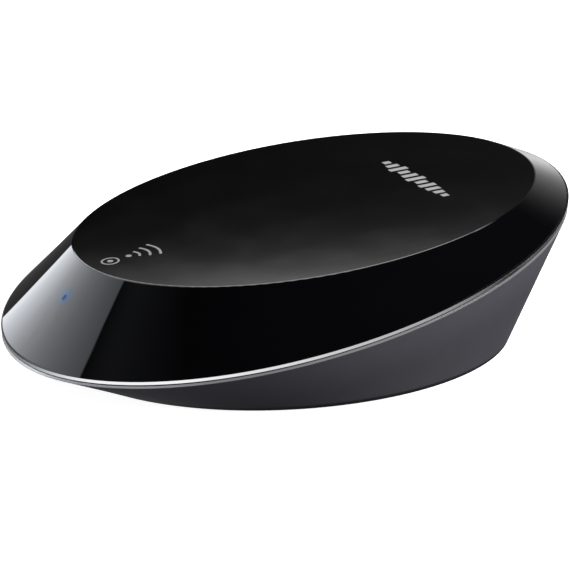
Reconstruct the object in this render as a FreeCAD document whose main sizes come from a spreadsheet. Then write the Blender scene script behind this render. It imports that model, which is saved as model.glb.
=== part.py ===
import FreeCAD, Part
import os
import re

import Sketcher

# Wireless audio receiver, in millimetres. +Z is up, +Y points to the rear panel with the
# sockets, and the origin is on the surface it stands on, under the middle of its outline.

DRIVING_DIMENSIONS = {
    # Outline of the case: three ovals, each given by its half axes seen from above.
    "rim_half_length": 40.0,
    "rim_half_width": 33.3,
    "rim_height": 13.0,
    "rim_slope": 0.202,
    "top_half_length": 33.04,
    "top_half_width": 25.4,
    "top_shift": 2.97,
    "top_height": 19.284,
    "top_slope": 0.097,
    "base_half_length": 31.4,
    "base_half_width": 26.4,
    "base_shift": 0.3,
    # Edges and the parting line.
    "top_edge_radius": 0.35,
    "base_edge_radius": 0.5,
    "rim_band": 0.43,
    "rim_undercut": 0.05,
    "seam_gap": 0.23,
    "lip_band": 0.32,
    "lip_inset": 0.08,
    "lip_chamfer": 0.15,
    # Walls.
    "ceiling": 1.6,
    "cover_rim_inset": 2.4,
    "cover_ceiling_inset": 0.6,
    "floor_top": 2.4,
    "floor_half_length": 29.8,
    "floor_half_width": 25.2,
    "floor_shift": 0.9,
    "case_rim_inset": 3.2,
    "tongue_inset": 2.5,
    # Feet, screws and posts.
    "foot_height": 0.6,
    "foot_radius": 4.0,
    "foot_sink": 0.5,
    "foot_edge_radius": 0.5,
    "screw_x": 15.0,
    "screw_y": 17.0,
    "head_radius": 2.0,
    "head_height": 1.5,
    "head_seat": 3.4,
    "shank_radius": 1.0,
    "shank_length": 10.0,
    "drive_radius": 1.0,
    "drive_depth": 0.8,
    "post_radius": 3.0,
    "boss_radius": 2.6,
    "thread_bite": 0.02,
    "tip_length": 1.2,
    "tip_radius": 0.25,
    "drive_width": 0.5,
    "support_radius": 1.5,
    "support_y": 21.0,
    "clearance": 0.2,
    "overrun": 0.5,
    # Blank label under the case.
    "label_width": 26.0,
    "label_length": 16.0,
    "label_sink": 0.15,
    "label_thick": 0.12,
    "label_corner": 1.5,
    # Main board.
    "board_bottom": 6.0,
    "board_thick": 1.2,
    "board_half_length": 31.2,
    "board_half_width": 26.2,
    "board_rear": 26.5,
    # Socket bay at the rear.
    "bay_half_width": 14.6,
    "bay_low": 4.6,
    "bay_high": 14.6,
    "bay_wall": 1.4,
    "panel_face": 29.6,
    "panel_thick": 1.6,
    "bay_corner": 1.6,
    "far_behind": 45.0,
    # Power socket.
    "usb_x": -9.6,
    "usb_width": 7.5,
    "usb_tall": 2.6,
    "usb_length": 5.5,
    "usb_sheet": 0.25,
    "usb_chamfer": 0.8,
    "usb_recess": 0.2,
    "tongue_width": 3.8,
    "tongue_thick": 0.55,
    "tongue_length": 3.8,
    "tongue_lift": 0.3,
    "tongue_root": 0.8,
    "tongue_root_width": 4.8,
    "tongue_root_gap": 0.05,
    "contact_width": 0.3,
    "contact_thick": 0.1,
    # Audio socket.
    "jack_width": 6.2,
    "jack_tall": 5.0,
    "jack_length": 12.0,
    "jack_nose_radius": 2.9,
    "jack_bore_radius": 1.8,
    "jack_bore_depth": 13.4,
    "jack_setback": 0.4,
    "jack_recess": 0.1,
    "jack_edge_radius": 0.3,
    "terminal_wide": 1.0,
    "terminal_deep": 1.2,
    "terminal_thick": 0.2,
    # Pairing button and its switch.
    "button_x": 9.6,
    "button_height": 9.4,
    "button_width": 5.0,
    "button_tall": 3.0,
    "button_proud": 0.8,
    "flange_width": 6.6,
    "flange_tall": 4.0,
    "flange_thick": 0.7,
    "flange_gap": 0.3,
    "switch_width": 6.0,
    "switch_deep": 3.6,
    "switch_tall": 3.9,
    "plunger_radius": 0.9,
    "plunger_play": 0.05,
    "plunger_stroke_room": 0.6,
    "plunger_grip": 1.2,
    "button_corner": 1.0,
    "button_crown": 0.3,
    "bracket_thick": 0.2,
    "switch_setback": 0.8,
    # Indicator light.
    "light_share": 0.344,
    "pinhole_radius": 0.42,
    "guide_radius": 1.2,
    "guide_length": 6.2,
    "guide_skin": 0.65,
    "guide_fit": 0.05,
    "tip_fit": 0.02,
    "collar_wall": 0.9,
    "collar_deep": 3.9,
    # Touch-to-pair coil under the cover.
    "coil_y": -9.0,
    "film_half_width": 11.0,
    "film_half_length": 14.0,
    "film_thick": 0.15,
    "tail_width": 4.0,
    "tail_inset": 0.4,
    "tail_socket": 0.8,
    "turn_thick": 0.08,
    "ferrite_thick": 0.25,
    "ferrite_inset": 0.8,
    "slot_play": 0.08,
    # Details of the soldered pieces.
    "shield_sheet": 0.2,
    "lid_fit": 0.05,
    "lid_lift": 0.5,
    "vent_radius": 0.5,
    "dimple_radius": 0.3,
    "dimple_depth": 0.1,
    "dimple_inset": 0.8,
    "lead_width": 0.35,
    "lead_thick": 0.15,
    "lead_reach": 0.7,
    "leg_reach": 0.4,
    "end_share": 0.2,
    "end_step": 0.05,
    "can_base": 0.8,
    "can_inset": 0.15,
    "crystal_corner": 0.5,
    "inductor_corner": 1.0,
    "led_bezel": 0.15,
}

# Pieces soldered on the board: (x, y) of the middle, then width, depth and height.
COMPONENTS = {
    "radio_chip": (-6.0, -12.0, 7.0, 7.0, 0.9),
    "shield": (-3.0, -12.0, 16.0, 13.0, 1.7),
    "crystal": (1.6, -9.0, 3.2, 2.5, 0.7),
    "memory_chip": (1.6, -14.6, 3.0, 3.0, 1.0),
    "chip_antenna": (-20.6, -3.0, 2.0, 7.0, 1.0),
    "nfc_chip": (9.5, -2.0, 2.5, 2.5, 0.8),
    "nfc_connector": (0.0, 4.7, 6.4, 1.9, 1.6),
    "audio_codec": (0.0, 10.6, 5.0, 4.4, 1.1),
    "output_capacitor": (7.6, 13.6, 4.3, 4.3, 5.4),
    "voltage_regulator": (-13.5, 3.4, 2.9, 1.6, 1.1),
    "power_inductor": (-13.0, 9.6, 4.0, 4.0, 1.9),
    "supply_capacitor": (-18.6, 6.2, 2.0, 1.25, 1.2),
    "chip_resistor": (14.5, 1.0, 1.6, 0.8, 0.45),
    "status_led": (0.0, -28.3, 1.6, 0.8, 0.6),
}
for part_name, numbers in COMPONENTS.items():
    for quantity, number in zip(("x", "y", "wide", "deep", "tall"), numbers):
        DRIVING_DIMENSIONS[f"{part_name}_{quantity}"] = number

COIL_TURNS = 4
TURN_PITCH = 1.0
TURN_WIDTH = 0.5
USB_CONTACTS = 5
USB_CONTACT_PITCH = 0.65
VENT_PITCH = 3.0
LEAD_PITCH = 0.95
CODEC_LEADS = 4
REGULATOR_LEADS = 2
RESISTOR_ROWS = 4
RESISTOR_PITCH = 1.6
RESISTOR_COLUMN = 2.4
CAPACITORS = 3
CAPACITOR_PITCH = 2.1
TERMINAL_STEPS = (2.0, 6.0, 10.0)
SAME_PLACE = 1e-4

doc = FreeCAD.newDocument("wireless_audio_receiver")
sheet = doc.addObject("Spreadsheet::Sheet", "dims")
for row, (alias, value) in enumerate(DRIVING_DIMENSIONS.items(), start=1):
    sheet.set(f"A{row}", alias)
    sheet.set(f"B{row}", str(value))
    sheet.setAlias(f"B{row}", alias)
doc.recompute()

# Derived places, as expressions on the driving dimensions.
BOARD_TOP = "(board_bottom + board_thick)"
PANEL_INSIDE = "(panel_face - panel_thick)"
JACK_Z = f"({BOARD_TOP} + jack_tall / 2)"
USB_Z = f"({BOARD_TOP} + usb_tall / 2)"
FLANGE_BACK = f"({PANEL_INSIDE} - flange_gap - flange_thick)"
SWITCH_FRONT = f"({FLANGE_BACK} - switch_setback)"
TOP_FRONT_Y = "(top_shift - top_half_length)"
TOP_FRONT_Z = f"(top_height + top_slope * {TOP_FRONT_Y})"
RIM_FRONT_Z = "(rim_height - rim_slope * rim_half_length)"
BEVEL_RUN = f"(rim_half_length + {TOP_FRONT_Y})"
BEVEL_RISE = f"({TOP_FRONT_Z} - {RIM_FRONT_Z})"
LIGHT_Y = f"({TOP_FRONT_Y} - light_share * {BEVEL_RUN})"
LIGHT_Z = f"({TOP_FRONT_Z} - light_share * {BEVEL_RISE})"
BEVEL_LENGTH = f"sqrt({BEVEL_RUN}^2 + {BEVEL_RISE}^2)"
SCREW_SPOTS = [(side_x, side_y) for side_y in (-1, 1) for side_x in (-1, 1)]


def bound(expression):
    """The expression with each driving dimension's name pointing at its cell."""

    def cell(match):
        word = match.group()
        return f"dims.{word}" if word in DRIVING_DIMENSIONS else word

    return re.sub(r"[a-z_]+", cell, str(expression))


def bind(feature, **sizes):
    for name, expression in sizes.items():
        feature.setExpression(name, bound(expression))


def place(feature, x="0", y="0", z="0"):
    for axis, expression in zip("xyz", (x, y, z)):
        feature.setExpression(f".Placement.Base.{axis}", bound(expression))


def box(name, x, y, z):
    """A box from three (low, high) pairs of expressions."""
    feature = doc.addObject("Part::Box", name)
    for size, (low, high) in zip(("Length", "Width", "Height"), (x, y, z)):
        bind(feature, **{size: f"({high}) - ({low})"})
    place(feature, x[0], y[0], z[0])
    return feature


def centred(middle, size):
    return f"{middle} - ({size}) / 2", f"{middle} + ({size}) / 2"


def cylinder(name, radius, x, y, z, length, turn=None):
    """A cylinder along +Z from (x, y, z), or turned about X by an angle expression."""
    feature = doc.addObject("Part::Cylinder", name)
    bind(feature, Radius=radius, Height=length)
    place(feature, x, y, z)
    if turn is not None:
        feature.Placement.Rotation = FreeCAD.Rotation(FreeCAD.Vector(1, 0, 0), 1)
        feature.setExpression(".Placement.Rotation.Angle", bound(turn))
    return feature


def oval(name, half_width, half_length, height, slope="0", shift="0"):
    """An oval whose plan has these half axes, on the plane z = height + slope * y."""
    feature = doc.addObject("Part::Ellipse", name)
    bind(feature, MajorRadius=f"({half_length}) * sqrt(1 + ({slope})^2)", MinorRadius=half_width)
    middle = f"vector(0; {shift}; {height} + ({slope}) * ({shift}))"
    turned = f"rotation(90; -atan({slope}); 0)"
    feature.setExpression("Placement", bound(f"placement({middle}; {turned})"))
    return feature


def loft(name, *sections):
    feature = doc.addObject("Part::Loft", name)
    feature.Sections = list(sections)
    feature.Solid = True
    feature.Ruled = True
    return feature


def rim_oval(name, inset, drop):
    """An oval parallel to the case's rim, inset from it and below it."""
    return oval(
        name,
        f"rim_half_width - ({inset})",
        f"rim_half_length - ({inset})",
        f"rim_height - ({drop})",
        "rim_slope",
    )


def plate(name, half_width, half_length, shift, high, low):
    """A thin oval plate parallel to the top face, between two depths below it."""
    faces = [
        oval(f"{name}_{side}", half_width, half_length, f"top_height - ({depth})", "top_slope", shift)
        for side, depth in (("upper", high), ("lower", low))
    ]
    return loft(name, *faces)


def cut(name, base, *tools):
    feature = doc.addObject("Part::Cut", name)
    feature.Base = base
    feature.Tool = tools[0] if len(tools) == 1 else fuse(f"{name}_tools", *tools)
    return feature


def fuse(name, *shapes):
    feature = doc.addObject("Part::MultiFuse", name)
    feature.Shapes = list(shapes)
    return feature


def common(name, *shapes):
    feature = doc.addObject("Part::MultiCommon", name)
    feature.Shapes = list(shapes)
    return feature


def group(name, solids):
    feature = doc.addObject("Part::Compound", name)
    feature.Links = solids
    return feature


def round_edges(name, base, radius, wanted):
    """Fillets the base's edges that wanted(edge) picks."""
    doc.recompute()
    size = float(sheet.get(radius))
    picked = [i for i, edge in enumerate(base.Shape.Edges, start=1) if wanted(edge)]
    feature = doc.addObject("Part::Fillet", name)
    feature.Base = base
    feature.Edges = [(i, size, size) for i in picked]
    return feature


def mirrored_spots(name, make):
    """One copy of a piece at each screw place, as a group of separate solids."""
    return group(name, [make(f"{name}_{i}", *spot) for i, spot in enumerate(SCREW_SPOTS, start=1)])


def sketch_on(owner, name, role, offset="0"):
    """A sketch on one of the body's own origin planes, moved along its normal."""
    plane = next(f for f in owner.Origin.OriginFeatures if f.Role == role)
    sketch = owner.newObject("Sketcher::SketchObject", name)
    sketch.AttachmentSupport = [(plane, "")]
    sketch.MapMode = "FlatFace"
    sketch.setExpression(".AttachmentOffset.Base.z", bound(offset))
    return sketch


def constrain(sketch, name, kind, points, expression):
    sketch.addConstraint(Sketcher.Constraint(kind, *points, 1.0))
    sketch.renameConstraint(sketch.ConstraintCount - 1, name)
    sketch.setExpression(f"Constraints.{name}", bound(expression))


def outline(sketch, points):
    """A closed outline of straight edges, each corner held at its two expressions."""
    doc.recompute()
    for i in range(len(points)):
        start = FreeCAD.Vector(i, i * i, 0)
        end = FreeCAD.Vector((i + 1) % len(points), ((i + 1) % len(points)) ** 2, 0)
        sketch.addGeometry(Part.LineSegment(start, end), False)
    for i in range(len(points)):
        sketch.addConstraint(Sketcher.Constraint("Coincident", i, 2, (i + 1) % len(points), 1))
    for i, (across, up) in enumerate(points):
        constrain(sketch, f"across{i}", "DistanceX", (-1, 1, i, 1), across)
        constrain(sketch, f"up{i}", "DistanceY", (-1, 1, i, 1), up)


def top_cover():
    """Upper shell: undercut rim band, bevel and flat sloping top, with screw bosses inside."""
    solid = loft(
        "cover_solid",
        rim_oval("cover_foot", "rim_undercut", "rim_band"),
        rim_oval("cover_rim", "0", "0"),
        oval("cover_top", "top_half_width", "top_half_length", "top_height", "top_slope", "top_shift"),
    )
    halfway = (DRIVING_DIMENSIONS["rim_height"] + DRIVING_DIMENSIONS["top_height"]) / 2
    is_top = lambda edge: edge.isClosed() and edge.CenterOfMass.z > halfway
    outside = round_edges("cover_outside", solid, "top_edge_radius", is_top)
    cavity = loft(
        "cover_cavity",
        rim_oval("cover_mouth", "cover_rim_inset", "rim_band + overrun"),
        rim_oval("cover_waist", "cover_rim_inset", "0"),
        oval(
            "cover_ceiling",
            "top_half_width - cover_ceiling_inset",
            "top_half_length - cover_ceiling_inset",
            "top_height - ceiling",
            "top_slope",
            "top_shift",
        ),
    )
    collar = on_light_axis("light_collar", "guide_radius + collar_wall", "collar_deep", "guide_skin")
    guide_bore = on_light_axis("guide_bore", "guide_radius + guide_fit", "guide_length", "guide_skin")
    pinhole = on_light_axis("pinhole", "pinhole_radius", "guide_skin + overrun", "-overrun")
    hollow = cut("cover_hollow", outside, cavity)
    raised = fuse("cover_raised", hollow, collar, *[screw_boss(*spot) for spot in SCREW_SPOTS])
    return cut("top_cover", raised, guide_bore, pinhole, *[pilot_hole(*spot) for spot in SCREW_SPOTS])


def on_light_axis(name, radius, deep, shallow):
    """A cylinder on the indicator's axis, square to the front bevel, between two depths."""
    back = f"{BEVEL_RISE} / {BEVEL_LENGTH}"
    down = f"{BEVEL_RUN} / {BEVEL_LENGTH}"
    start_y = f"{LIGHT_Y} + {back} * ({deep})"
    start_z = f"{LIGHT_Z} - {down} * ({deep})"
    turn = f"atan({BEVEL_RISE} / {BEVEL_RUN})"
    return cylinder(name, radius, "0", start_y, start_z, f"({deep}) - ({shallow})", turn)


def screw_boss(side_x, side_y):
    name = f"boss_{side_x + 1}{side_y + 1}"
    ceiling_middle = f"top_height + top_slope * screw_y * {side_y} - ceiling / 2"
    x, y = f"{side_x} * screw_x", f"{side_y} * screw_y"
    return cylinder(name, "boss_radius", x, y, BOARD_TOP, f"{ceiling_middle} - {BOARD_TOP}")


def pilot_hole(side_x, side_y):
    name = f"pilot_{side_x + 1}{side_y + 1}"
    x, y = f"{side_x} * screw_x", f"{side_y} * screw_y"
    depth = "shank_length + overrun - board_thick"
    return cylinder(name, "shank_radius + thread_bite", x, y, "board_bottom", depth)


def bottom_case():
    """Lower shell: leaning walls, a tongue behind the parting line and a flat bay for the sockets."""
    solid = loft(
        "case_solid",
        oval("case_base", "base_half_width", "base_half_length", "foot_height", shift="base_shift"),
        rim_oval("case_shoulder", "lip_inset", "rim_band + seam_gap + lip_band"),
        rim_oval("case_edge", "lip_inset + lip_chamfer", "rim_band + seam_gap"),
    )
    halfway = (DRIVING_DIMENSIONS["foot_height"] + DRIVING_DIMENSIONS["rim_height"]) / 2
    is_base = lambda edge: edge.isClosed() and edge.CenterOfMass.z < halfway
    outside = round_edges("case_outside", solid, "base_edge_radius", is_base)
    tongue = loft(
        "tongue",
        rim_oval("tongue_root_oval", "tongue_inset", "rim_band + seam_gap + overrun"),
        rim_oval("tongue_top", "tongue_inset", "0"),
    )
    floor = ("floor_half_width", "floor_half_length", "floor_top", "0", "floor_shift")
    cavity = loft(
        "case_cavity",
        oval("cavity_floor", *floor),
        rim_oval("cavity_waist", "case_rim_inset", "rim_band + seam_gap"),
        rim_oval("cavity_mouth", "case_rim_inset", "-overrun"),
    )
    hollow = cut("case_hollow", fuse("case_closed", outside, tongue), cavity)
    raised = fuse("case_raised", hollow, bay_block(outside), *case_posts())
    return cut("bottom_case", raised, *bay_cuts(), *underside_cuts())


def bay_block(outside):
    """The walls round the socket bay, kept within the outer skin."""
    block = box(
        "bay_block_box",
        ("-bay_half_width - bay_wall", "bay_half_width + bay_wall"),
        (PANEL_INSIDE, "far_behind"),
        ("bay_low - bay_wall", "bay_high + bay_wall"),
    )
    return common("bay_block", outside, block)


def bay_cuts():
    recess_box = box(
        "bay_recess_box",
        ("-bay_half_width", "bay_half_width"),
        ("panel_face", "far_behind"),
        ("bay_low", "bay_high"),
    )
    recess = round_edges("bay_recess", recess_box, "bay_corner", runs_along_y)
    through = (f"{PANEL_INSIDE} - overrun", "panel_face + overrun")
    usb_hole = box(
        "usb_hole",
        centred("usb_x", "usb_width + 2 * clearance"),
        through,
        centred(USB_Z, "usb_tall + 2 * clearance"),
    )
    jack_radius = "jack_nose_radius + clearance"
    jack_length = f"panel_face + overrun - ({through[0]})"
    jack_hole = cylinder("jack_hole", jack_radius, "0", through[0], JACK_Z, jack_length, "-90")
    button_box = box(
        "button_hole_box",
        centred("button_x", "button_width + 2 * clearance"),
        through,
        centred("button_height", "button_tall + 2 * clearance"),
    )
    button_hole = round_edges("button_hole", button_box, "button_corner", runs_along_y)
    return [recess, usb_hole, jack_hole, button_hole]


def runs_along_y(edge):
    ends = [vertex.Point for vertex in edge.Vertexes]
    return abs(ends[0].x - ends[1].x) < SAME_PLACE and abs(ends[0].z - ends[1].z) < SAME_PLACE


def runs_along_z(edge):
    ends = [vertex.Point for vertex in edge.Vertexes]
    return abs(ends[0].x - ends[1].x) < SAME_PLACE and abs(ends[0].y - ends[1].y) < SAME_PLACE


def case_posts():
    posts = []
    for side_x, side_y in SCREW_SPOTS:
        name = f"post_{side_x + 1}{side_y + 1}"
        x, y = f"{side_x} * screw_x", f"{side_y} * screw_y"
        start = "floor_top - overrun"
        posts.append(cylinder(name, "post_radius", x, y, start, f"board_bottom - ({start})"))
    for x in ("usb_x", "button_x"):
        start = "floor_top - overrun"
        length = f"board_bottom - ({start})"
        posts.append(cylinder(f"support_{x}", "support_radius", x, "support_y", start, length))
    return posts


def underside_cuts():
    """Foot pockets, screw seats and the shallow recess for the label."""
    cuts = [
        box(
            "label_recess",
            centred("0", "label_width"),
            centred("0", "label_length"),
            ("0", "foot_height + label_sink"),
        )
    ]
    for side_x, side_y in SCREW_SPOTS:
        tag = f"{side_x + 1}{side_y + 1}"
        spot = (f"{side_x} * screw_x", f"{side_y} * screw_y")
        depth = "foot_height + foot_sink"
        pocket = cylinder(f"pocket_{tag}", "foot_radius + clearance / 2", *spot, "0", depth)
        seat = cylinder(f"seat_{tag}", "head_radius + clearance", *spot, "0", "head_seat")
        hole = cylinder(f"hole_{tag}", "shank_radius + clearance", *spot, "0", "board_bottom + overrun")
        cuts += [pocket, seat, hole]
    return cuts


def rubber_foot(name, side_x, side_y):
    spot = (f"{side_x} * screw_x", f"{side_y} * screw_y")
    disc = cylinder(f"{name}_disc", "foot_radius", *spot, "0", "foot_height + foot_sink")
    is_sole = lambda edge: edge.isClosed() and edge.CenterOfMass.z < SAME_PLACE
    return round_edges(name, disc, "foot_edge_radius", is_sole)


def case_screw(name, side_x, side_y):
    """A pan-head screw with a cross drive, pointing up through the board into its boss."""
    spot = (f"{side_x} * screw_x", f"{side_y} * screw_y")
    head_low = "head_seat - head_height"
    head = cylinder(f"{name}_head", "head_radius", *spot, head_low, "head_height")
    shank = cylinder(f"{name}_shank", "shank_radius", *spot, "head_seat", "shank_length - tip_length")
    tip = doc.addObject("Part::Cone", f"{name}_tip")
    bind(tip, Radius1="shank_radius", Radius2="tip_radius", Height="tip_length")
    place(tip, *spot, "head_seat + shank_length - tip_length")
    depth = (head_low, f"{head_low} + drive_depth")
    drive = [
        box(f"{name}_slot_{tag}", centred(spot[0], wide), centred(spot[1], deep), depth)
        for tag, wide, deep in (
            ("x", "2 * drive_radius", "drive_width"),
            ("y", "drive_width", "2 * drive_radius"),
        )
    ]
    return cut(name, fuse(f"{name}_blank", head, shank, tip), *drive)


def rating_label():
    """A blank sticker in its recess."""
    sheet_box = box(
        "label_box",
        centred("0", "label_width - clearance"),
        centred("0", "label_length - clearance"),
        ("foot_height + label_sink - label_thick", "foot_height + label_sink"),
    )
    return round_edges("rating_label", sheet_box, "label_corner", runs_along_z)


def main_board():
    """An oval board, cut straight behind the sockets, with a hole at each screw."""
    blank = loft(
        "board_blank",
        oval("board_low", "board_half_width", "board_half_length", "board_bottom"),
        oval("board_high", "board_half_width", "board_half_length", BOARD_TOP),
    )
    rear = box(
        "board_rear_cut",
        ("-board_half_width", "board_half_width"),
        ("board_rear", "far_behind"),
        ("board_bottom - overrun", f"{BOARD_TOP} + overrun"),
    )
    holes = []
    for side_x, side_y in SCREW_SPOTS:
        name = f"board_hole_{side_x + 1}{side_y + 1}"
        spot = (f"{side_x} * screw_x", f"{side_y} * screw_y")
        start = "board_bottom - overrun"
        length = "board_thick + 2 * overrun"
        holes.append(cylinder(name, "shank_radius + clearance", *spot, start, length))
    return cut("main_board", blank, rear, *holes)


def on_board(name, part, tall=None, grow="0", lift="0", dx="0", dy="0"):
    """A box standing on the board at a component's place."""
    low = f"{BOARD_TOP} + {lift}"
    return box(
        name,
        centred(f"{part}_x + {dx}", f"{part}_wide + 2 * ({grow})"),
        centred(f"{part}_y + {dy}", f"{part}_deep + 2 * ({grow})"),
        (low, f"{low} + {tall or part + '_tall'}"),
    )


def flat_chip(part):
    """A moulded chip with a dimple beside its first contact."""
    block = on_board(f"{part}_block", part)
    x = f"{part}_x - {part}_wide / 2 + dimple_inset"
    y = f"{part}_y + {part}_deep / 2 - dimple_inset"
    bottom = f"{BOARD_TOP} + {part}_tall - dimple_depth"
    dimple = cylinder(f"{part}_dimple", "dimple_radius", x, y, bottom, "overrun")
    return cut(part, block, dimple)


def leaded_chip(part, leads):
    """A moulded chip on bent leads along its two sides."""
    block = on_board(f"{part}_block", part, f"{part}_tall - lead_thick", lift="lead_thick")
    across = centred(f"{part}_x", f"{part}_wide + 2 * lead_reach")
    inner = centred(f"{part}_x", f"{part}_wide + 2 * leg_reach")
    rows = []
    for i in range(leads):
        y = centred(f"{part}_y + {(i - (leads - 1) / 2) * LEAD_PITCH}", "lead_width")
        rows.append(box(f"{part}_foot{i}", across, y, (BOARD_TOP, f"{BOARD_TOP} + lead_thick")))
        rows.append(box(f"{part}_leg{i}", inner, y, (BOARD_TOP, f"{BOARD_TOP} + {part}_tall / 2")))
    return fuse(part, block, *rows)


def end_capped(name, part, dx="0", dy="0"):
    """A small ceramic block with a raised metal cap on each end."""
    middle = on_board(f"{name}_middle", part, f"{part}_tall - end_step", dx=dx, dy=dy)
    caps = []
    for side in (-1, 1):
        cap_x = f"{part}_x + {dx} + {side} * (1 - end_share) / 2 * {part}_wide"
        x = centred(cap_x, f"end_share * {part}_wide")
        y = centred(f"{part}_y + {dy}", f"{part}_deep")
        caps.append(box(f"{name}_cap{side + 1}", x, y, (BOARD_TOP, f"{BOARD_TOP} + {part}_tall")))
    return fuse(name, middle, *caps)


def shield_frame():
    outer = on_board("shield_frame_box", "shield")
    inner = on_board("shield_frame_room", "shield", "shield_tall + overrun", "-shield_sheet")
    return cut("shield_frame", outer, inner)


def shield_lid():
    """A pressed lid over the frame, with rows of small vents."""
    grow = "shield_sheet + lid_fit"
    outer = on_board("shield_lid_box", "shield", "shield_tall + shield_sheet - lid_lift", grow, "lid_lift")
    room = on_board("shield_lid_room", "shield", "shield_tall - lid_lift", "lid_fit", "lid_lift")
    vents = []
    for column in (-1, 0, 1):
        for line in (-1, 0, 1):
            x = f"shield_x + {column * VENT_PITCH}"
            y = f"shield_y + {line * VENT_PITCH}"
            name = f"vent_{column + 1}{line + 1}"
            vents.append(cylinder(name, "vent_radius", x, y, BOARD_TOP, "2 * shield_tall"))
    return cut("shield_lid", outer, room, *vents)


def output_capacitor(name, side):
    """An upright can on a square base."""
    base = on_board(f"{name}_base", "output_capacitor", "can_base", dx=f"{side} * output_capacitor_x")
    x = f"output_capacitor_x + {side} * output_capacitor_x"
    radius = "output_capacitor_wide / 2 - can_inset"
    can = cylinder(f"{name}_can", radius, x, "output_capacitor_y", BOARD_TOP, "output_capacitor_tall")
    return fuse(name, base, can)


def usb_shell():
    """A folded metal shell, wide above and chamfered below, open to the rear."""
    shell = doc.addObject("PartDesign::Body", "usb_shell")
    mouth = "panel_face - usb_recess"
    outer_sketch = sketch_on(shell, "usb_outer", "XZ_Plane", f"-({mouth})")
    outline(outer_sketch, usb_outline("0"))
    # A pad on the XZ plane runs towards -Y, from the mouth into the case.
    pad = shell.newObject("PartDesign::Pad", "usb_pad")
    pad.Profile = outer_sketch
    bind(pad, Length="usb_length")
    inner_sketch = sketch_on(shell, "usb_inner", "XZ_Plane", f"-({mouth})")
    outline(inner_sketch, usb_outline("usb_sheet"))
    doc.recompute()
    pocket = shell.newObject("PartDesign::Pocket", "usb_pocket")
    pocket.Profile = inner_sketch
    bind(pocket, Length="usb_length - usb_sheet")
    pocket.Reversed = True
    return shell


def usb_outline(inset):
    """The socket's mouth, this far inside its outer skin."""
    left, right = f"usb_x - usb_width / 2 + {inset}", f"usb_x + usb_width / 2 - {inset}"
    bottom, top = f"{BOARD_TOP} + {inset}", f"{BOARD_TOP} + usb_tall - {inset}"
    step = f"usb_chamfer - {inset} / 2"
    return [
        (f"{left} + {step}", bottom),
        (f"{right} - ({step})", bottom),
        (right, f"{bottom} + {step}"),
        (right, top),
        (left, top),
        (left, f"{bottom} + {step}"),
    ]


def usb_tongue():
    back = "panel_face - usb_recess - usb_length + usb_sheet"
    root = box(
        "tongue_root",
        centred("usb_x", "tongue_root_width"),
        (back, f"{back} + tongue_root"),
        (f"{BOARD_TOP} + usb_sheet + tongue_root_gap", f"{BOARD_TOP} + usb_tall - usb_sheet"),
    )
    blade = box(
        "tongue_blade",
        centred("usb_x", "tongue_width"),
        (back, f"{back} + tongue_length"),
        centred(f"{USB_Z} + tongue_lift", "tongue_thick"),
    )
    return fuse("usb_tongue", root, blade)


def usb_contact(i):
    back = "panel_face - usb_recess - usb_length + usb_sheet + tongue_root"
    x = f"usb_x + {(i - (USB_CONTACTS - 1) / 2) * USB_CONTACT_PITCH}"
    under = f"{USB_Z} + tongue_lift - tongue_thick / 2"
    return box(
        f"usb_contact_{i}",
        centred(x, "contact_width"),
        (back, f"{back} + tongue_length - tongue_root - contact_width"),
        (f"{under} - contact_thick", under),
    )


def audio_jack_body():
    """A moulded socket body with a round nose and one long blind bore."""
    front = f"{PANEL_INSIDE} - jack_setback"
    face = "panel_face - jack_recess"
    block_box = box(
        "jack_block_box",
        centred("0", "jack_width"),
        (f"{front} - jack_length", front),
        (BOARD_TOP, f"{BOARD_TOP} + jack_tall"),
    )
    block = round_edges("jack_block", block_box, "jack_edge_radius", runs_along_y)
    nose_start = f"{front} - overrun"
    nose_length = f"{face} - ({nose_start})"
    nose = cylinder("jack_nose", "jack_nose_radius", "0", nose_start, JACK_Z, nose_length, "-90")
    solid = fuse("jack_solid", block, above_board(nose))
    bore_start = f"{face} - jack_bore_depth"
    depth = "jack_bore_depth + overrun"
    bore = cylinder("jack_bore", "jack_bore_radius", "0", bore_start, JACK_Z, depth, "-90")
    return cut("audio_jack_body", solid, bore)


def above_board(nose):
    """The nose, trimmed where it would reach into the board."""
    across = ("-jack_width", "jack_width")
    under = box("under_nose", across, ("0", "board_rear + overrun"), ("0", BOARD_TOP))
    return cut("jack_nose_trimmed", nose, under)


def jack_terminals():
    tabs = []
    back = f"{PANEL_INSIDE} - jack_setback - jack_length"
    for side in (-1, 1):
        for i, step in enumerate(TERMINAL_STEPS):
            x = centred(f"{side} * (jack_width / 2 + terminal_wide / 2)", "terminal_wide")
            y = centred(f"{back} + {step}", "terminal_deep")
            z = (BOARD_TOP, f"{BOARD_TOP} + terminal_thick")
            tabs.append(box(f"terminal_{side + 1}{i}", x, y, z))
    return group("audio_jack_terminals", tabs)


def switch_body():
    block = box(
        "switch_block",
        centred("button_x", "switch_width"),
        (f"{SWITCH_FRONT} - switch_deep", SWITCH_FRONT),
        (BOARD_TOP, f"{BOARD_TOP} + switch_tall"),
    )
    start = f"{SWITCH_FRONT} - plunger_grip - plunger_stroke_room"
    length = f"{SWITCH_FRONT} + overrun - ({start})"
    radius = "plunger_radius + plunger_play"
    hole = cylinder("plunger_hole", radius, "button_x", start, "button_height", length, "-90")
    return cut("switch_body", block, hole)


def switch_bracket():
    """A bent sheet-metal strap over the switch, soldered down on both sides."""
    y = (f"{SWITCH_FRONT} - switch_deep + overrun", f"{SWITCH_FRONT} - overrun")
    outer = box(
        "bracket_outer",
        centred("button_x", "switch_width + 2 * bracket_thick"),
        y,
        (BOARD_TOP, f"{BOARD_TOP} + switch_tall + bracket_thick"),
    )
    inner = box(
        "bracket_inner",
        centred("button_x", "switch_width"),
        (f"{y[0]} - overrun", f"{y[1]} + overrun"),
        (f"{BOARD_TOP} - overrun", f"{BOARD_TOP} + switch_tall"),
    )
    return cut("switch_bracket", outer, inner)


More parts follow.
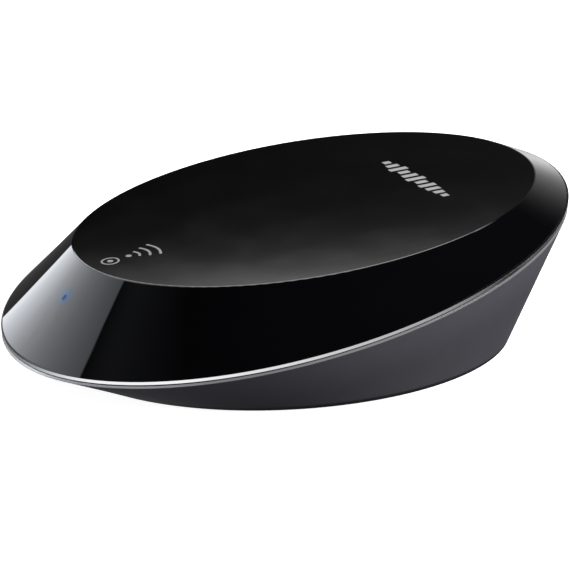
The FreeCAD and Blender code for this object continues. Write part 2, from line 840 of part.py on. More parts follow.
def switch_plunger():
    start = f"{SWITCH_FRONT} - plunger_grip"
    length = f"{FLANGE_BACK} - ({start})"
    return cylinder("switch_plunger", "plunger_radius", "button_x", start, "button_height", length, "-90")


def pair_button():
    """A keycap with a flange behind the panel that stops it falling out."""
    cap = doc.addObject("PartDesign::Body", "pair_button")
    flange_sketch = sketch_on(cap, "flange_outline", "XZ_Plane", f"-({FLANGE_BACK})")
    outline(flange_sketch, centred_rectangle("button_x", "button_height", "flange_width", "flange_tall"))
    flange = cap.newObject("PartDesign::Pad", "flange_pad")
    flange.Profile = flange_sketch
    bind(flange, Length="flange_thick")
    flange.Reversed = True
    key_sketch = sketch_on(cap, "key_outline", "XZ_Plane", f"-({FLANGE_BACK} + flange_thick / 2)")
    outline(key_sketch, centred_rectangle("button_x", "button_height", "button_width", "button_tall"))
    key = cap.newObject("PartDesign::Pad", "key_pad")
    key.Profile = key_sketch
    bind(key, Length=f"panel_face + button_proud - ({FLANGE_BACK} + flange_thick / 2)")
    key.Reversed = True
    doc.recompute()
    face_y = key.Shape.BoundBox.YMax
    corners = edge_names(key.Shape, lambda edge: runs_along_y(edge) and touches_y(edge, face_y))
    rounded = cap.newObject("PartDesign::Fillet", "key_corners")
    rounded.Base = (key, corners)
    bind(rounded, Radius="button_corner")
    doc.recompute()
    front = edge_names(rounded.Shape, lambda edge: lies_at_y(edge, face_y))
    crown = cap.newObject("PartDesign::Fillet", "key_crown")
    crown.Base = (rounded, front)
    bind(crown, Radius="button_crown")
    return cap


def centred_rectangle(x, z, width, tall):
    left, right = centred(x, width)
    low, high = centred(z, tall)
    return [(left, low), (right, low), (right, high), (left, high)]


def edge_names(shape, wanted):
    return [f"Edge{i}" for i, edge in enumerate(shape.Edges, start=1) if wanted(edge)]


def touches_y(edge, y):
    return edge.BoundBox.YMax > y - SAME_PLACE


def lies_at_y(edge, y):
    return edge.BoundBox.YMin > y - SAME_PLACE


def nfc_film():
    """A flex sheet stuck under the cover, with a tail down to its connector."""
    low = "ceiling + film_thick"
    sheet_oval = plate("film_sheet", "film_half_width", "film_half_length", "coil_y", "ceiling", low)
    tail_back = "coil_y + film_half_length - tail_inset"
    tail_top = f"top_height + top_slope * ({tail_back}) - ceiling - film_thick / 2"
    tail = box(
        "film_tail",
        centred("0", "tail_width"),
        (f"{tail_back} - film_thick", tail_back),
        (f"{BOARD_TOP} + tail_socket", tail_top),
    )
    return fuse("nfc_film", sheet_oval, tail)


def nfc_coil():
    """Nested oval copper turns on the film's underside."""
    high = "ceiling + film_thick"
    low = f"{high} + turn_thick"
    turns = []
    for i in range(COIL_TURNS):
        outer = (i + 1) * TURN_PITCH
        disc = film_oval(f"turn_{i}_disc", outer, high, low)
        room = film_oval(f"turn_{i}_room", outer + TURN_WIDTH, f"{high} - overrun", f"{low} + overrun")
        turns.append(cut(f"coil_turn_{i}", disc, room))
    return group("nfc_coil", turns)


def film_oval(name, inset, high, low):
    """A plate with the film's outline, drawn in by inset."""
    return plate(name, f"film_half_width - {inset}", f"film_half_length - {inset}", "coil_y", high, low)


def nfc_ferrite():
    high = "ceiling + film_thick + turn_thick"
    low = f"{high} + ferrite_thick"
    return film_oval("nfc_ferrite", "ferrite_inset", high, low)


def nfc_connector():
    block = on_board("connector_block", "nfc_connector")
    tail_back = "coil_y + film_half_length - tail_inset"
    slot = box(
        "connector_slot",
        centred("0", "tail_width + clearance"),
        (f"{tail_back} - film_thick - slot_play", f"{tail_back} + slot_play"),
        (f"{BOARD_TOP} + tail_socket / 2", f"{BOARD_TOP} + nfc_connector_tall + overrun"),
    )
    return cut("nfc_connector", block, slot)


def light_guide():
    rod = on_light_axis("guide_rod", "guide_radius", "guide_length", "guide_skin")
    tip = on_light_axis("guide_tip", "pinhole_radius - tip_fit", "guide_skin + overrun", "tip_fit")
    return fuse("light_guide", rod, tip)


def status_led():
    base = on_board("led_base", "status_led", "status_led_tall / 2")
    lens = on_board("led_lens", "status_led", "status_led_tall", "-led_bezel")
    return fuse("status_led", base, lens)


def chip_resistors():
    solids = []
    for column in (0, 1):
        for line in range(RESISTOR_ROWS):
            spot = (str(column * RESISTOR_COLUMN), str(line * RESISTOR_PITCH))
            solids.append(end_capped(f"resistor_{column}{line}", "chip_resistor", *spot))
    return group("chip_resistors", solids)


def supply_capacitors():
    solids = []
    for i in range(CAPACITORS):
        solids.append(end_capped(f"capacitor_{i}", "supply_capacitor", "0", str(-i * CAPACITOR_PITCH)))
    return group("supply_capacitors", solids)


def output_capacitors():
    cans = [output_capacitor("capacitor_right", 0), output_capacitor("capacitor_left", -2)]
    return group("output_capacitors", cans)


def rounded_block(part, radius):
    return round_edges(part, on_board(f"{part}_block", part), radius, runs_along_z)


SUB_PARTS = [
    top_cover(),
    bottom_case(),
    light_guide(),
    mirrored_spots("rubber_feet", rubber_foot),
    rating_label(),
    mirrored_spots("case_screws", case_screw),
    main_board(),
    status_led(),
    flat_chip("radio_chip"),
    shield_frame(),
    shield_lid(),
    rounded_block("crystal", "crystal_corner"),
    flat_chip("memory_chip"),
    end_capped("chip_antenna", "chip_antenna"),
    leaded_chip("audio_codec", CODEC_LEADS),
    output_capacitors(),
    leaded_chip("voltage_regulator", REGULATOR_LEADS),
    rounded_block("power_inductor", "inductor_corner"),
    supply_capacitors(),
    chip_resistors(),
    usb_shell(),
    usb_tongue(),
    group("usb_contacts", [usb_contact(i) for i in range(USB_CONTACTS)]),
    audio_jack_body(),
    jack_terminals(),
    switch_body(),
    switch_bracket(),
    switch_plunger(),
    pair_button(),
    nfc_film(),
    nfc_coil(),
    nfc_ferrite(),
    nfc_connector(),
    flat_chip("nfc_chip"),
]

doc.recompute()
for feature in doc.Objects:
    if "Invalid" in feature.State or "Error" in feature.State:
        raise RuntimeError(f"{feature.Label} failed: {feature.State}")
for feature in SUB_PARTS:
    if feature.Shape.isNull() or not feature.Shape.isValid():
        raise RuntimeError(f"{feature.Label} has no valid shape")

os.makedirs("parts", exist_ok=True)
for feature in SUB_PARTS:
    feature.Shape.exportStep(f"parts/{feature.Label}.step")
    print(f"{feature.Label}: {len(feature.Shape.Solids)} solids, {feature.Shape.Volume:.2f} mm3")
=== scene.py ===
"""Looks of a wireless audio receiver: an oval gloss-black cover on a matte grey bottom shell."""

import math

import bmesh
import bpy
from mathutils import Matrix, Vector


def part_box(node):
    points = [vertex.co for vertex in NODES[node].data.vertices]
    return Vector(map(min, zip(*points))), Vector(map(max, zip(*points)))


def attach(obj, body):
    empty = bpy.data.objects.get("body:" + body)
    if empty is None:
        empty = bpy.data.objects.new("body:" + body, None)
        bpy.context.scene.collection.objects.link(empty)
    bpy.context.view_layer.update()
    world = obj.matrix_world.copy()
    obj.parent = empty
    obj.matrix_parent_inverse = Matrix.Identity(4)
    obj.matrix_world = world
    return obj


MM = 0.001

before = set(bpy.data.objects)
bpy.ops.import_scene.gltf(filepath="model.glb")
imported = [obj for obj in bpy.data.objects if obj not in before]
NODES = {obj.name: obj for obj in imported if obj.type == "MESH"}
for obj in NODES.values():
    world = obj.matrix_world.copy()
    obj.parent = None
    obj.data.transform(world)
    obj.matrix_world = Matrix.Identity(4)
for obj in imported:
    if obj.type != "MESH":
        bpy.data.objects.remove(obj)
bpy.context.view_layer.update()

# The flat top is a plane that rises towards the rear, and the rim, the widest line, lies in a steeper one.
TOP_HEIGHT = 19.284 * MM
TOP_SLOPE = 0.097
RIM_HEIGHT = 13.0 * MM
RIM_SLOPE = 0.202

# Bands round the shells, by how far they lie under the plane of the rim.
OUTLINE = (-0.2 * MM, 0.0)
BRIGHT_CUT = (0.0, 0.6 * MM)
# The lip carries a real polish and a painted highlight.
LIP_POLISH_AND_HIGHLIGHT = (0.67 * MM, 0.96 * MM)
# The wall's painted shade changes from light near the rim to dark over this span.
WALL_SHADE_SPAN = (1 * MM, 9 * MM)

# Nearly all of a noise pattern lies in NOISE_SPAN. A grained surface has a second, broader grain, and its
# roughness varies by ROUGHNESS_SPREAD either way.
NOISE_SPAN = (0.2, 0.8)
BROAD_TO_FINE = 14
ROUGHNESS_SPREAD = 0.06

# The soft edge of a printed or drawn line.
CRISP = 0.02 * MM

INK_LIFT = 0.004 * MM
INK_THICKNESS = 0.016 * MM
INK_GRAIN = 0.12 * MM

# The floor lies just under the feet, so that the two share no plane.
FLOOR_DROP = 0.01 * MM
FLOOR_GLOW = 0.93
STRAY_GLOW = 0.008
FLOOR_RADIUS = 3.0


# ---------------------------------------------------------------- node helpers


class Field:
    """A number or vector worked out by nodes, so that a formula reads as one."""

    def __init__(self, tree, socket):
        self.tree, self.socket = tree, socket

    def math(self, operation, *others):
        node = self.tree.nodes.new("ShaderNodeMath")
        node.operation = operation
        for value, slot in zip((self, *others), node.inputs):
            connect(self.tree, value, slot)
        return Field(self.tree, node.outputs[0])

    def __add__(self, other):
        return self.math("ADD", other)

    def __sub__(self, other):
        return self.math("SUBTRACT", other)

    def __mul__(self, other):
        return self.math("MULTIPLY", other)

    def __neg__(self):
        return self.math("MULTIPLY", -1.0)

    def inverse(self):
        """1 where this is 0, and 0 where it is 1."""
        return -self + 1.0

    def ramp(self, low, high, first=0.0, last=1.0, smooth=True):
        """first up to low, then an even or a smooth change to last at high."""
        node = self.tree.nodes.new("ShaderNodeMapRange")
        node.interpolation_type = "SMOOTHSTEP" if smooth else "LINEAR"
        backwards = low > high
        ends = (high, low, last, first) if backwards else (low, high, first, last)
        connect(self.tree, self, node.inputs["Value"])
        for name, value in zip(("From Min", "From Max", "To Min", "To Max"), ends):
            node.inputs[name].default_value = value
        return Field(self.tree, node.outputs[0])

    def spread(self, first, last):
        """A noise pattern stretched from first to last."""
        return self.ramp(*NOISE_SPAN, first, last)

    def band(self, low, high, soft):
        """1 between low and high, changing to 0 over soft on either side of each edge."""
        return self.ramp(low - soft, low + soft) * self.ramp(high + soft, high - soft)


def connect(tree, value, slot):
    """Links a worked-out value to a socket, or sets the socket to a plain one."""
    if isinstance(value, Field):
        tree.links.new(value.socket, slot)
    elif isinstance(value, bpy.types.NodeSocket):
        tree.links.new(value, slot)
    else:
        slot.default_value = value


def coordinates(tree, kind="Object"):
    """The position in metres, or for the world the direction, as a vector and as x, y and z."""
    source = tree.nodes.new("ShaderNodeTexCoord").outputs[kind]
    split = tree.nodes.new("ShaderNodeSeparateXYZ")
    tree.links.new(source, split.inputs[0])
    return source, [Field(tree, s) for s in split.outputs]


def noise(tree, where, size, detail=2.0, stretch=(1, 1, 1)):
    """A cloudy pattern from 0 to 1 whose blobs are about size metres across."""
    mapping = tree.nodes.new("ShaderNodeMapping")
    tree.links.new(where, mapping.inputs["Vector"])
    mapping.inputs["Scale"].default_value = [1 / (size * s) for s in stretch]
    node = tree.nodes.new("ShaderNodeTexNoise")
    tree.links.new(mapping.outputs[0], node.inputs["Vector"])
    node.inputs["Scale"].default_value = 1.0
    node.inputs["Detail"].default_value = detail
    return Field(tree, node.outputs["Fac"])


def tint(tree, share, low, high):
    """A colour between low and high by share."""
    node = tree.nodes.new("ShaderNodeMix")
    node.data_type = "RGBA"
    connect(tree, share, node.inputs["Factor"])
    node.inputs["A"].default_value = (*low, 1)
    node.inputs["B"].default_value = (*high, 1)
    return node.outputs["Result"]


def blend(tree, share, first, second):
    """A colour between two that are themselves worked out."""
    node = tree.nodes.new("ShaderNodeMix")
    node.data_type = "RGBA"
    connect(tree, share, node.inputs["Factor"])
    tree.links.new(first, node.inputs["A"])
    tree.links.new(second, node.inputs["B"])
    return node.outputs["Result"]


def bump(tree, height, depth, strength=1.0):
    """A relief depth metres deep."""
    node = tree.nodes.new("ShaderNodeBump")
    node.inputs["Distance"].default_value = depth
    node.inputs["Strength"].default_value = strength
    connect(tree, height, node.inputs["Height"])
    return node.outputs["Normal"]


def new_material(name, **constants):
    """A material with these constants on its shader's sockets, its tree and its shader."""
    material = bpy.data.materials.new(name)
    material.use_nodes = True
    tree = material.node_tree
    shader = tree.nodes["Principled BSDF"]
    for socket, value in constants.items():
        shader.inputs[socket.replace("_", " ")].default_value = value
    return material, tree, shader


# ---------------------------------------------------------------- materials


def grained(name, colour, spread, roughness, grain, depth, metallic=0.0, stretch=(1, 1, 1)):
    """A moulded, cast or plated surface: two sizes of grain in its colour, and the finer in its relief."""
    material, tree, shader = new_material(name, Metallic=metallic)
    where, _ = coordinates(tree)
    fine = noise(tree, where, grain, 3, stretch)
    broad = noise(tree, where, grain * BROAD_TO_FINE, 2)
    share = fine * 0.6 + broad * 0.4
    low = [c * (1 - spread) for c in colour]
    high = [c * (1 + spread) for c in colour]
    connect(tree, tint(tree, share, low, high), shader.inputs["Base Color"])
    smoother, rougher = roughness - ROUGHNESS_SPREAD, roughness + ROUGHNESS_SPREAD
    connect(tree, share.spread(smoother, rougher), shader.inputs["Roughness"])
    connect(tree, bump(tree, fine, depth), shader.inputs["Normal"])
    return material


def below_rim(y, z):
    """How far a point lies under the plane of the cover's rim."""
    return y * RIM_SLOPE + RIM_HEIGHT - z


def distance(x, y, z, spot):
    """How far a point lies from a spot."""
    across, along, above = x - spot.x, y - spot.y, z - spot.z
    return (across * across + along * along + above * above).math("SQRT")


def gloss_cover():
    """Piano-black cover with faint orange peel, a bright-cut rim and a painted blue glow round the light."""
    material, tree, shader = new_material("gloss_cover_finish", IOR=1.5)
    where, (x, y, z) = coordinates(tree)
    peel = noise(tree, where, 1.6 * MM, 1)
    haze = noise(tree, where, 9 * MM, 3)
    cut_line = below_rim(y, z).band(*BRIGHT_CUT, 0.015 * MM)
    black = tint(tree, haze, (0.0009, 0.0009, 0.0013), (0.0015, 0.0015, 0.0019))
    silver = tint(tree, haze, (0.80, 0.80, 0.81), (0.88, 0.88, 0.89))
    connect(tree, blend(tree, cut_line, black, silver), shader.inputs["Base Color"])
    connect(tree, cut_line, shader.inputs["Metallic"])
    # The edge above the rim is satin at the rear and on the far side, where it draws a thin dark outline.
    far_side = y.ramp(0, 15 * MM).math("MAXIMUM", x.ramp(9 * MM, -2 * MM))
    outline = below_rim(y, z).band(*OUTLINE, CRISP) * far_side
    satin = cut_line * 0.10 + outline * 0.55
    connect(tree, satin + haze.ramp(0.3, 0.7, 0.015, 0.035), shader.inputs["Roughness"])
    connect(tree, bump(tree, peel, 0.0001 * MM), shader.inputs["Normal"])
    low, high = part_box("light_guide")
    tip = Vector(((low.x + high.x) / 2, low.y, high.z))
    # Painted glow: the cover itself shines blue round the light's tip and reflects less there.
    halo = distance(x, y, z, tip).ramp(2.0 * MM, 0.3 * MM)
    connect(tree, outline * -0.35 + halo * -0.2 + 0.5, shader.inputs["Specular IOR Level"])
    connect(tree, halo * 0.15, shader.inputs["Emission Strength"])
    shader.inputs["Emission Color"].default_value = (0.0, 0.38, 1.0, 1)
    return material


def light_plastic():
    """Clear light guide, lit blue at its outer tip."""
    material, tree, shader = new_material("light_plastic_finish", IOR=1.49, Roughness=0.6)
    shader.inputs["Specular IOR Level"].default_value = 0.1
    where, (_, y, _) = coordinates(tree)
    cloud = noise(tree, where, 0.15 * MM, 2)
    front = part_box("light_guide")[0].y
    tip = y.ramp(front + 1.0 * MM, front + 0.3 * MM)
    blue = tint(tree, cloud, (0.02, 0.04, 0.12), (0.05, 0.09, 0.22))
    lit_blue = tint(tree, cloud, (0.018, 0.035, 0.095), (0.045, 0.080, 0.16))
    connect(tree, blue, shader.inputs["Base Color"])
    connect(tree, lit_blue, shader.inputs["Emission Color"])
    connect(tree, tip, shader.inputs["Emission Strength"])
    return material


def matte_case():
    """Spark-eroded dark grey plastic, with painted shade that makes it lighter near the rim and darker
    towards the bottom, a polish and a painted highlight on the lip beside the parting line, and painted shade
    along the bottom edge.
    """
    material, tree, shader = new_material("matte_case_finish", IOR=1.46)
    shader.inputs["Specular IOR Level"].default_value = 0.3
    where, (_, y, z) = coordinates(tree)
    fine = noise(tree, where, 0.16 * MM, 3)
    broad = noise(tree, where, 2.5 * MM, 2)
    # Painted shade: the wall is coloured lighter near the rim and darker towards the bottom.
    depth = below_rim(y, z).ramp(*WALL_SHADE_SPAN, 1.0, 0.0)
    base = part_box("bottom_case")[0].z
    # Painted shade: a near-black band along the bottom edge of the shell.
    painted_base_shade = z.ramp(base + 0.85 * MM, base + 0.55 * MM)
    share = fine * 0.3 + broad * 0.2 + depth * 0.5
    lip = below_rim(y, z).band(*LIP_POLISH_AND_HIGHLIGHT, 0.03 * MM)
    plain = tint(tree, share, (0.023, 0.0225, 0.0275), (0.051, 0.050, 0.060))
    # Painted highlight: the lip is coloured much lighter than the wall, on top of its lower roughness.
    lip_painted_highlight = tint(tree, share, (0.150, 0.150, 0.154), (0.175, 0.175, 0.180))
    shaded = tint(tree, share, (0.003, 0.003, 0.004), (0.007, 0.007, 0.008))
    wall = blend(tree, painted_base_shade, plain, shaded)
    connect(tree, blend(tree, lip, wall, lip_painted_highlight), shader.inputs["Base Color"])
    connect(tree, lip * 0.5, shader.inputs["Metallic"])
    connect(tree, lip * -0.35 + share.spread(0.52, 0.64), shader.inputs["Roughness"])
    connect(tree, bump(tree, fine * lip.inverse(), 0.012 * MM), shader.inputs["Normal"])
    return material


def rating_label():
    """Matt silver polyester with a printed border and two rules between blank fields."""
    material, tree, shader = new_material("label_film_finish", IOR=1.5)
    where, (x, y, _) = coordinates(tree)
    low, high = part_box("rating_label")
    fibre = noise(tree, where, 0.3 * MM, 3, (1, 6, 1))

    def frame_at(inset):
        """1 inside a rectangle this far within the label's edge."""
        across = x.band(low.x + inset, high.x - inset, CRISP)
        return across * y.band(low.y + inset, high.y - inset, CRISP)

    border = frame_at(0.9 * MM) - frame_at(1.02 * MM)
    rows = y.band(-0.06 * MM, 0.06 * MM, CRISP) + y.band(2.9 * MM, 3.0 * MM, CRISP)
    rules = x.band(low.x + 3 * MM, high.x - 3 * MM, CRISP) * rows
    ink = (border + rules).math("MINIMUM", 1.0)
    silver = tint(tree, fibre, (0.20, 0.20, 0.205), (0.28, 0.28, 0.285))
    dark = tint(tree, fibre, (0.02, 0.02, 0.022), (0.03, 0.03, 0.032))
    connect(tree, blend(tree, ink, silver, dark), shader.inputs["Base Color"])
    connect(tree, fibre.spread(0.38, 0.5), shader.inputs["Roughness"])
    connect(tree, bump(tree, fibre, 0.003 * MM), shader.inputs["Normal"])
    return material


def board():
    """Green solder mask over raised copper tracks."""
    material, tree, shader = new_material("board_finish", IOR=1.5)
    where, _ = coordinates(tree)
    mottle = noise(tree, where, 0.8 * MM, 2)
    tracks = noise(tree, where, 3.2 * MM, 1, (1, 1, 40))
    edges = (tracks * 9.0).math("FRACT").band(0.35, 0.65, 0.05)
    mask = tint(tree, mottle, (0.004, 0.030, 0.014), (0.006, 0.042, 0.020))
    copper = tint(tree, mottle, (0.010, 0.075, 0.030), (0.014, 0.095, 0.038))
    connect(tree, blend(tree, edges, mask, copper), shader.inputs["Base Color"])
    connect(tree, mottle.spread(0.3, 0.42), shader.inputs["Roughness"])
    connect(tree, bump(tree, edges, 0.02 * MM, 0.5), shader.inputs["Normal"])
    return material


# Colour, how far it varies, roughness, size of the grain, its depth, metallic and stretch.
GRAINED = {
    "foot_rubber": ((0.020, 0.020, 0.021), 0.25, 0.82, 0.12 * MM, 0.02 * MM),
    "screw_steel": ((0.42, 0.42, 0.44), 0.15, 0.32, 0.1 * MM, 0.004 * MM, 1.0, (1, 1, 8)),
    "chip_black": ((0.016, 0.016, 0.017), 0.25, 0.5, 0.06 * MM, 0.004 * MM),
    "tin_plate": ((0.60, 0.60, 0.60), 0.08, 0.28, 0.2 * MM, 0.003 * MM, 1.0),
    "ceramic_tan": ((0.50, 0.36, 0.22), 0.12, 0.45, 0.1 * MM, 0.003 * MM),
    "can_metal": ((0.66, 0.66, 0.67), 0.08, 0.25, 0.12 * MM, 0.003 * MM, 1.0, (1, 1, 10)),
    "ferrite_grey": ((0.055, 0.055, 0.058), 0.2, 0.6, 0.1 * MM, 0.008 * MM),
    "socket_steel": ((0.58, 0.57, 0.55), 0.10, 0.24, 0.15 * MM, 0.003 * MM, 1.0, (1, 6, 1)),
    "socket_plastic": ((0.014, 0.014, 0.015), 0.25, 0.42, 0.1 * MM, 0.004 * MM),
    "contact_gold": ((0.80, 0.58, 0.25), 0.08, 0.22, 0.1 * MM, 0.002 * MM, 1.0),
    "button_plastic": ((0.012, 0.012, 0.013), 0.25, 0.34, 0.12 * MM, 0.004 * MM),
    "film_amber": ((0.42, 0.16, 0.03), 0.12, 0.3, 0.6 * MM, 0.004 * MM),
    "coil_copper": ((0.72, 0.33, 0.18), 0.1, 0.28, 0.2 * MM, 0.003 * MM, 1.0),
    "led_body": ((0.75, 0.74, 0.68), 0.08, 0.4, 0.1 * MM, 0.003 * MM),
}
FINISHES = {slot: grained(f"{slot}_finish", *look) for slot, look in GRAINED.items()}
FINISHES["gloss_cover"] = gloss_cover()
FINISHES["matte_case"] = matte_case()
FINISHES["light_plastic"] = light_plastic()
FINISHES["label_film"] = rating_label()
FINISHES["board"] = board()

for node in NODES.values():
    node.data.materials[0] = FINISHES[node.data.materials[0].name]


# ---------------------------------------------------------------- printed signs


def sign_ink(name, grey):
    """Pad-printing ink, slightly uneven."""
    return grained(name, (grey, grey, grey), 0.10, 0.5, INK_GRAIN, 0.001 * MM)


def printed_sign(name, ink, outlines):
    """Flat outlines of ink on the top face, each a list of (x, y) in millimetres."""
    shape = bmesh.new()
    for outline in outlines:
        corners = []
        for x, y in outline:
            height = TOP_HEIGHT + TOP_SLOPE * y * MM + INK_LIFT
            corners.append(shape.verts.new((x * MM, y * MM, height)))
        shape.faces.new(corners)
    top = bmesh.ops.extrude_face_region(shape, geom=shape.faces[:])
    raised = [v for v in top["geom"] if isinstance(v, bmesh.types.BMVert)]
    bmesh.ops.translate(shape, verts=raised, vec=(0, 0, INK_THICKNESS))
    bmesh.ops.recalc_face_normals(shape, faces=shape.faces[:])
    mesh = bpy.data.meshes.new(name)
    shape.to_mesh(mesh)
    shape.free()
    mesh.materials.append(ink)
    sign = bpy.data.objects.new(name, mesh)
    bpy.context.scene.collection.objects.link(sign)
    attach(sign, "case")


def on_circle(centre, radius, angle):
    """The point of a circle at an angle in radians."""
    return centre[0] + radius * math.cos(angle), centre[1] + radius * math.sin(angle)


def arc_strip(centre, radius, width, first, last, steps=24):
    """A ring or part of one between two angles in degrees, as four-sided outlines."""
    strips = []
    for i in range(steps):
        a, b = (math.radians(first + (last - first) * k / steps) for k in (i, i + 1))
        inner, outer = radius - width / 2, radius + width / 2
        corners = [(inner, a), (outer, a), (outer, b), (inner, b)]
        strips.append([on_circle(centre, r, t) for r, t in corners])
    return strips


def disc(centre, radius, steps=24):
    """A filled circle, as one outline."""
    return [[on_circle(centre, radius, 2 * math.pi * k / steps) for k in range(steps)]]


def level_bars(centre, heights, width, gap, lean):
    """A row of leaning bars of different heights, like a sound level display."""
    bars = []
    pitch = width + gap
    left = centre[0] - pitch * len(heights) / 2
    for i, tall in enumerate(heights):
        x = left + pitch * i
        shift = lean * tall / 2
        low, high = centre[1] - tall / 2, centre[1] + tall / 2
        foot = [(x - shift, low), (x + width - shift, low)]
        head = [(x + width + shift, high), (x + shift, high)]
        bars.append(foot + head)
    return bars


GREY_INK = sign_ink("grey_ink_finish", 0.22)
PALE_INK = sign_ink("pale_ink_finish", 0.30)

# In millimetres: centres, radii, widths of stroke and heights of bars.
TAP = (0.56, -26.9)
DOT_RADIUS = 0.42
printed_sign("tap_target_sign", GREY_INK, arc_strip(TAP, 1.15, 0.26, 0, 360, 40) + disc(TAP, DOT_RADIUS))

WAVES = (0.47, -24.1)
WAVE_WIDTH = 0.34
waves = disc(WAVES, DOT_RADIUS)
for radius, half_angle in ((1.5, 40), (2.9, 35), (4.3, 30)):
    waves += arc_strip(WAVES, radius, WAVE_WIDTH, 90 - half_angle, 90 + half_angle)
printed_sign("wireless_sign", GREY_INK, waves)

BARS = (0.95, 19.8)
BAR_HEIGHTS = (1.0, 1.7, 2.5, 1.5, 2.1, 2.6, 1.6, 2.3, 1.9, 1.4, 0.9)
printed_sign("level_bars_sign", PALE_INK, level_bars(BARS, BAR_HEIGHTS, width=0.95, gap=0.68, lean=0.18))


# ---------------------------------------------------------------- camera

# Fitted to the photograph together with the ovals of the shells.
VIEW_AZIMUTH = math.radians(62.046)
VIEW_ELEVATION = math.radians(18.952)
CAMERA_SPOT = Vector((0.64905, -0.34457, 0.26114))
CAMERA_LENS = 359.85

camera_data = bpy.data.cameras.new("camera")
camera_data.lens = CAMERA_LENS
camera_data.sensor_width = 36
camera_data.clip_start = 0.05
camera_data.clip_end = 20
camera = bpy.data.objects.new("camera", camera_data)
bpy.context.scene.collection.objects.link(camera)
backwards = Vector(
    (
        math.sin(VIEW_AZIMUTH) * math.cos(VIEW_ELEVATION),
        -math.cos(VIEW_AZIMUTH) * math.cos(VIEW_ELEVATION),
        math.sin(VIEW_ELEVATION),
    )
)
camera.location = CAMERA_SPOT
camera.rotation_mode = "QUATERNION"
camera.rotation_quaternion = (-backwards).to_track_quat("-Z", "Y")
bpy.context.scene.camera = camera


# ---------------------------------------------------------------- studio

# The gloss mirrors a set of panels, each given by direction: turn is the angle from -X towards -Y and height
# the angle above the horizon, both in degrees. A panel is a product of its sides, fading and brightness.


def side_panels(turn, height):
    """Panels that shine in the front end of the bevel, to the left in the picture."""
    left_box = turn.band(-4.0, 53.8, 0.5) * height.band(-6, 58, 4) * height.ramp(11, 50, 3.2, 0.42, False)
    left_strip = turn.band(-6, 34, 5) * height.band(40, 72, 4) * 1.3
    haze = turn.ramp(92, 66, 0.0, 0.10, False) * turn.ramp(50, 56) * height.ramp(36, 46)
    return left_box + left_strip + haze


def rear_panels(turn, height):
    """Panels that shine in the flat top and in the far side of the bevel."""
    wall = (turn + height * 0.6).ramp(-62, -46) * turn.ramp(-29, -32) * height.ramp(40, -2)
    wall = wall * height.ramp(-14, 0, 0.45, 1.0) * height.ramp(16, 2, 1.0, 1.35)
    corner = turn.band(-32, -4, 0.5) * height.ramp(16, 8) * 0.07
    rising = height + (turn + 24.5) * 0.075
    fading = rising.ramp(22.4, 24.0, -8.44, 0.52, False).math("EXPONENT")
    box = turn.band(-29, -13, 1) * height.ramp(25, 24.2) * fading
    haze = turn.ramp(-21.5, -27.5, 0.0, 0.027, False) * turn.ramp(-60, -40) * height.ramp(40, 25)
    window = turn.band(-118, -84, 5) * height.band(-14, 12, 4) * 0.7
    return corner + box + haze + wall + window


def edge_panels(x, y, turn, height):
    """Strips that shine in the edge of the flat top and in the lip, and panels for views from other sides."""
    top_strip = turn.band(-45, -3, 3) * (height + turn * 0.6).ramp(15, 22) * height.ramp(77, 71) * 4.0
    along_lip = (height - turn * 0.26).band(-8.5, 1, 2.5)
    lip_strip = along_lip * turn.ramp(24, 36) * turn.ramp(150, 90) * 5.0
    towards_camera = (x * 0.906 - y * 0.423).ramp(0.35, 0.6)
    front_box = towards_camera * height.band(8, 44, 4) * height.ramp(14, 32, 0.35, 1.2)
    overhead = height.ramp(79, 90, 0.0, 0.25)
    return top_strip + lip_strip + front_box + overhead


def pale_ground(x, y, turn, height):
    """The ground as the bright-cut rim mirrors it: brightest in front, dimmer at the ends and none behind."""
    facing_front = (-y * 0.985 - x * 0.174).ramp(-0.896, 0.6, smooth=False).math("POWER", 0.45)
    tips = turn.ramp(-90, -74, 1.0, 0.25).math("MAXIMUM", turn.ramp(18, 88, 0.25, 1.0))
    behind = turn.band(-66, 6, 6) * height.ramp(-17, -13)
    below = height.ramp(-4, -12) * height.ramp(-62, -44, 0.2, 1.08)
    return facing_front * below * tips * behind.inverse()


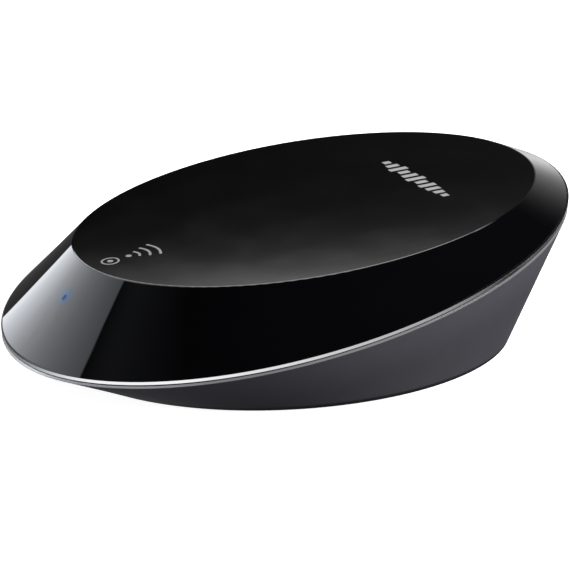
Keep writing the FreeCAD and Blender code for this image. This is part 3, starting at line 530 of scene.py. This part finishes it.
def studio_world():
    """A room that is white to the camera, softly lit to the matt surfaces and full of panels to the gloss."""
    world = bpy.data.worlds.new("studio")
    world.use_nodes = True
    bpy.context.scene.world = world
    tree = world.node_tree
    _, (x, y, z) = coordinates(tree, "Generated")
    degrees = 180 / math.pi
    turn = (-y).math("ARCTAN2", -x) * degrees
    height = z.math("ARCSINE") * degrees
    panels = side_panels(turn, height) + rear_panels(turn, height) + edge_panels(x, y, turn, height)
    mirrored = panels + pale_ground(x, y, turn, height) + STRAY_GLOW
    soft = height.ramp(-60, 60, 0.11, 0.5, False)
    path = tree.nodes.new("ShaderNodeLightPath")
    glossy = Field(tree, path.outputs["Is Glossy Ray"])
    seen = Field(tree, path.outputs["Is Camera Ray"])
    strength = seen + (mirrored * glossy + soft * glossy.inverse()) * seen.inverse()
    cool = glossy * turn.ramp(-12, 2) * height.ramp(-12, -4)
    back = tree.nodes["Background"]
    connect(tree, tint(tree, cool, (1, 1, 1), (0.95, 0.985, 1.05)), back.inputs["Color"])
    connect(tree, strength, back.inputs["Strength"])


def studio_floor():
    """Pale paper under the object, lit almost white."""
    material, tree, shader = new_material("floor_finish", Roughness=0.9)
    where, _ = coordinates(tree)
    fibre = noise(tree, where, 4 * MM, 4)
    connect(tree, tint(tree, fibre, (0.86, 0.86, 0.86), (0.9, 0.9, 0.9)), shader.inputs["Base Color"])
    shader.inputs["Emission Color"].default_value = (1, 1, 1, 1)
    shader.inputs["Emission Strength"].default_value = FLOOR_GLOW
    shape = bmesh.new()
    bmesh.ops.create_circle(shape, cap_ends=True, segments=64, radius=FLOOR_RADIUS)
    mesh = bpy.data.meshes.new("floor")
    shape.to_mesh(mesh)
    shape.free()
    mesh.materials.append(material)
    floor = bpy.data.objects.new("floor", mesh)
    bpy.context.scene.collection.objects.link(floor)
    floor.location.z = -FLOOR_DROP
    floor.visible_glossy = False
    floor.visible_diffuse = False


def soft_light(name, spot, aim, size, power):
    """A square lamp, size metres wide and power watts strong, that isn't mirrored in the gloss."""
    lamp = bpy.data.lights.new(name, "AREA")
    lamp.size = size
    lamp.energy = power
    light = bpy.data.objects.new(name, lamp)
    bpy.context.scene.collection.objects.link(light)
    light.location = spot
    light.rotation_mode = "QUATERNION"
    light.rotation_quaternion = (Vector(aim) - Vector(spot)).to_track_quat("-Z", "Y")
    light.visible_glossy = False


studio_world()
studio_floor()
soft_light("key", spot=(0.62, 0.60, 0.36), aim=(0, 0, 0.01), size=0.5, power=22.0)
bpy.context.scene.view_settings.view_transform = "Standard"
